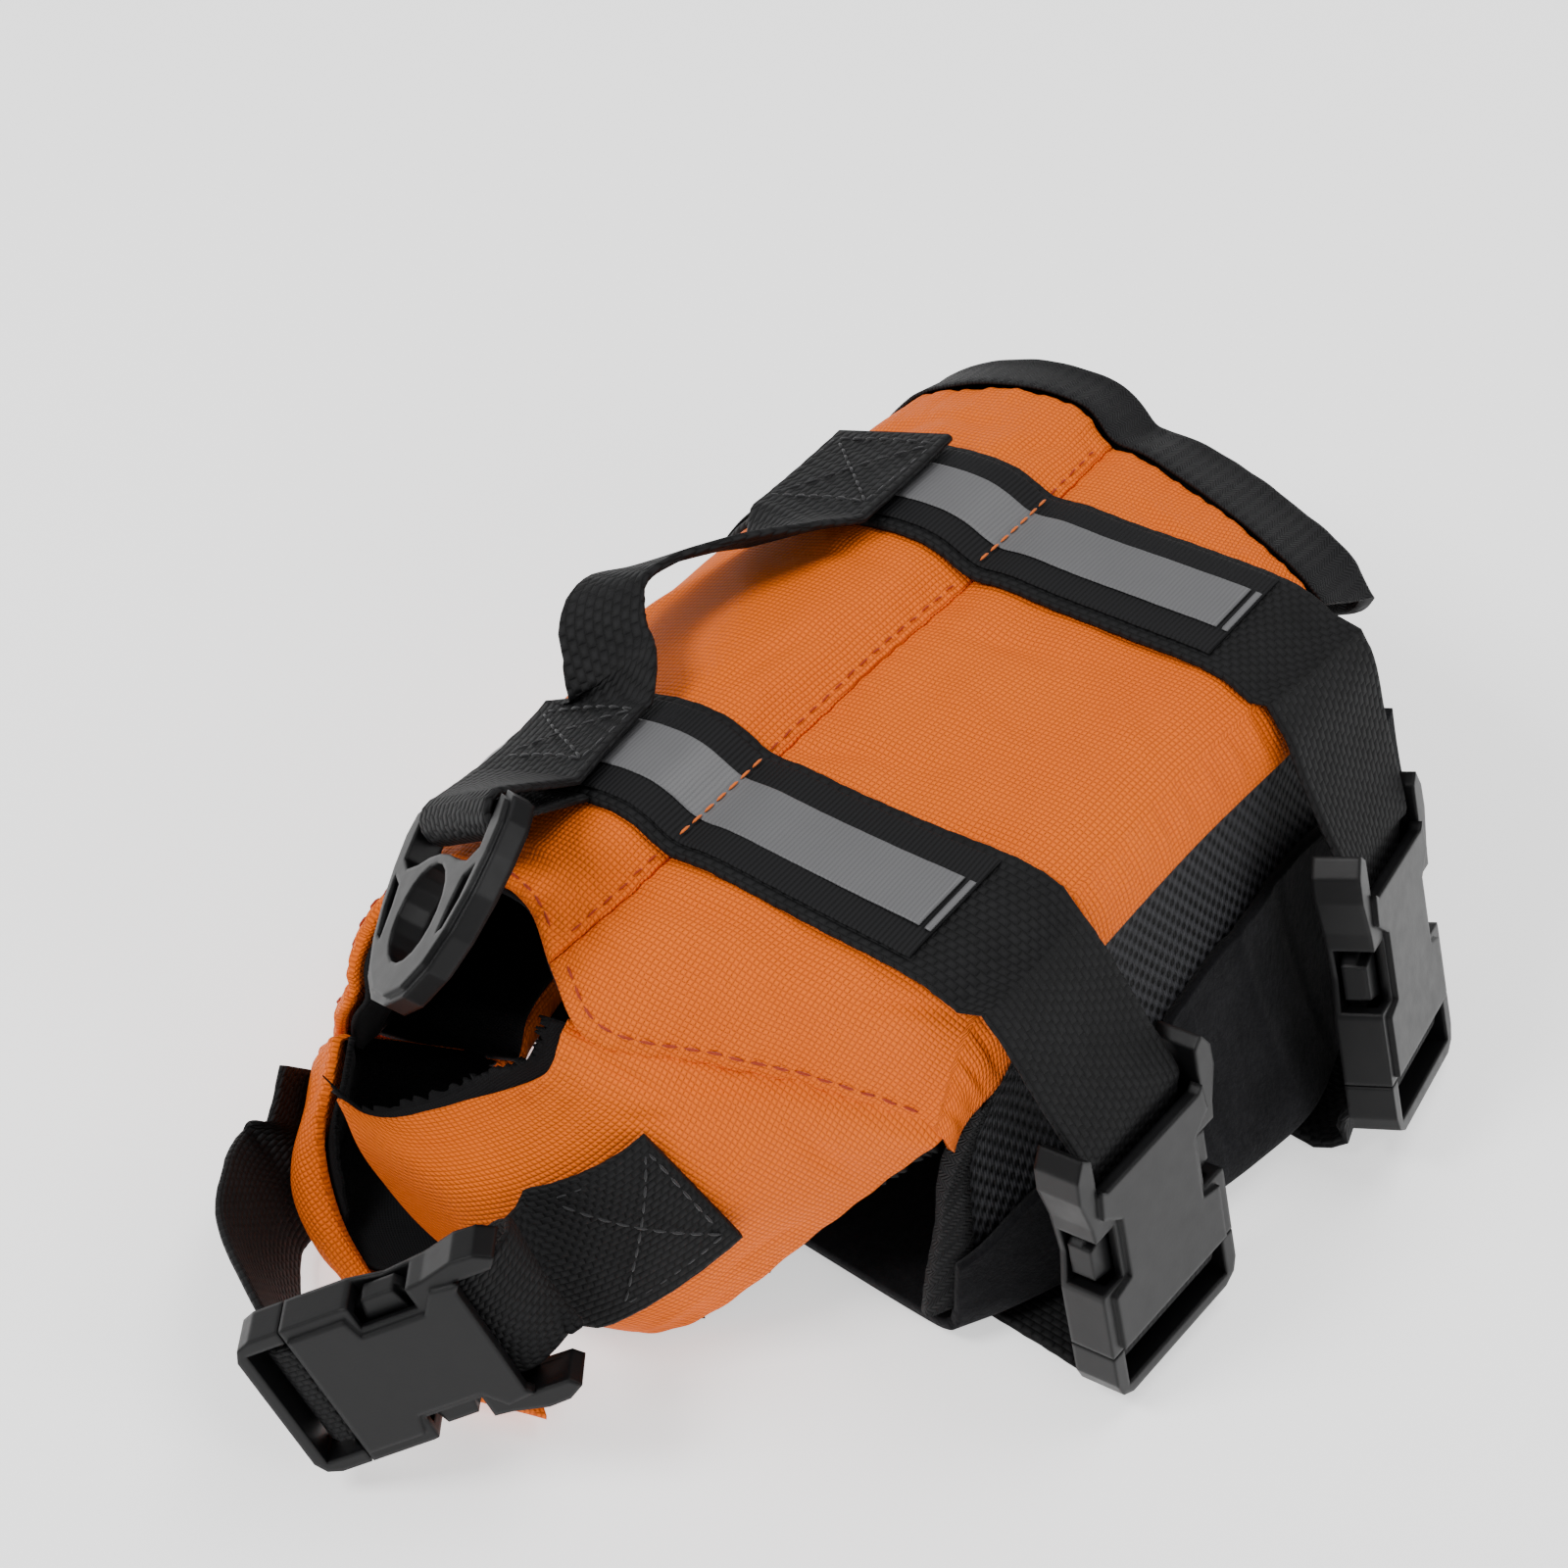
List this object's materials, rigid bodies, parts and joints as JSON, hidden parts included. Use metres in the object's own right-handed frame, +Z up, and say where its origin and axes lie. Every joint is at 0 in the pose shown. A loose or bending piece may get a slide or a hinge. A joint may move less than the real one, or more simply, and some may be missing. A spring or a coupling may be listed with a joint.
{
  "type": "dog life jacket",
  "caption": "Padded dog life jacket, fastened and empty, with a grab handle, a leash ring, webbing bands, side-release buckles and reflective stripes.",
  "frame": {"origin": "middle of the front belly band's flat underside, on the surface that the jacket rests on", "axes": "+Z up, -Y towards the neck opening, +X towards the wearer's left, where the body buckles are"},
  "size_m": [0.16, 0.2208, 0.0803],
  "materials": {
    "oxford_orange": "plain woven coated polyester, light sheen",
    "lining_black": "matt woven nylon",
    "webbing_black": "coarse woven polypropylene webbing",
    "ribbon_black": "fine ribbed ribbon",
    "reflective_grey": "glass-bead reflective tape, satin",
    "mesh_black": "knitted spacer mesh and brushed loop fabric",
    "plastic_black": "moulded acetal, satin"
  },
  "bodies": {
    "root": {"back_spine": "oxford_orange", "back_left": "oxford_orange", "back_right": "oxford_orange", "wing_left": "oxford_orange", "wing_right": "oxford_orange", "lining_back": "lining_black", "lining_wing_left": "lining_black", "lining_wing_right": "lining_black", "binding_rear": "webbing_black", "side_mesh": "mesh_black", "belly_panel": "mesh_black", "tape_side": "webbing_black", "band_front": "webbing_black", "band_rear": "webbing_black", "ribbon_front": "ribbon_black", "ribbon_rear": "ribbon_black", "stripe_front": "reflective_grey", "stripe_rear": "reflective_grey", "belly_band_front": "webbing_black", "belly_band_rear": "webbing_black", "handle": "webbing_black", "neck_strap_left": "webbing_black", "neck_strap_right": "webbing_black", "buckle_neck_female": "plastic_black", "buckle_neck_male": "plastic_black", "buckle_front_female": "plastic_black", "buckle_front_male": "plastic_black", "buckle_rear_female": "plastic_black", "buckle_rear_male": "plastic_black"},
    "d_ring": {"leash_ring": "plastic_black"}
  },
  "joints": [
    {"name": "leash_ring_hinge", "type": "hinge", "parent": "root", "child": "d_ring", "pos_m": [-0.013, -0.0282, 0.068], "axis": [-0.7295, 0.1399, -0.6695], "range_deg": [0, 110]}
  ]
}
